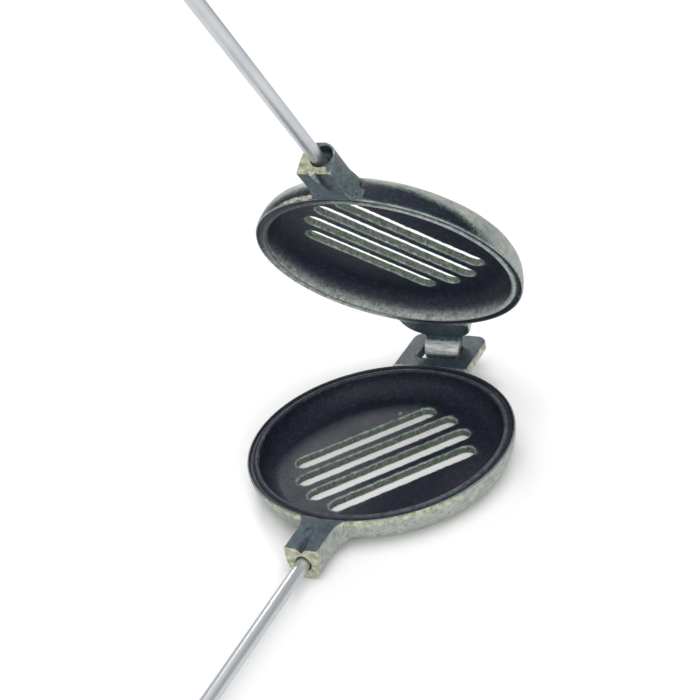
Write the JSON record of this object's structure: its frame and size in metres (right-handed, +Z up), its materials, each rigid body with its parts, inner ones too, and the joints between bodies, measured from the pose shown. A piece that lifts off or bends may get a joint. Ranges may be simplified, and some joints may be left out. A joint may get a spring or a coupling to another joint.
{
  "type": "hinged burger griller",
  "caption": "Round cast-iron camp-fire burger griller: two slotted halves hinged on a loop and hook, each on a long steel rod with a wooden grip, with a keeper link.",
  "frame": {"origin": "middle of the lower half's flat base, on the bar between its two middle slots", "axes": "+Z up out of the base, +Y towards the hinge, -Y along the rods to the grips, +X along the hinge axis"},
  "size_m": [0.13, 0.7105, 0.5956],
  "materials": {
    "cast_iron": "bare sand-cast, dark seasoned inside, worn grey outside",
    "plated_rod": "bright plated",
    "handle_wood": "satin varnish",
    "zinc_steel": "zinc plated"
  },
  "bodies": {
    "lower_half": {"lower_pan": "cast_iron", "lower_rod": "plated_rod", "lower_grip": "handle_wood", "lower_ferrule": "zinc_steel", "lower_grip_pin": "zinc_steel", "keeper_collar_front": "zinc_steel", "keeper_collar_rear": "zinc_steel"},
    "upper_half": {"upper_pan": "cast_iron", "upper_rod": "plated_rod", "upper_grip": "handle_wood", "upper_ferrule": "zinc_steel", "upper_grip_pin": "zinc_steel"},
    "keeper": {"keeper_link": "zinc_steel"}
  },
  "joints": [
    {"name": "lid_hinge", "type": "hinge", "parent": "lower_half", "child": "upper_half", "pos_m": [0, 0.0875, 0.013], "axis": [-1, 0, 0], "range_deg": [-55, 45]},
    {"name": "keeper_swing", "type": "hinge", "parent": "lower_half", "child": "keeper", "pos_m": [0, -0.462, 0.008], "axis": [0, 1, 0], "range_deg": [-90, 90]}
  ]
}
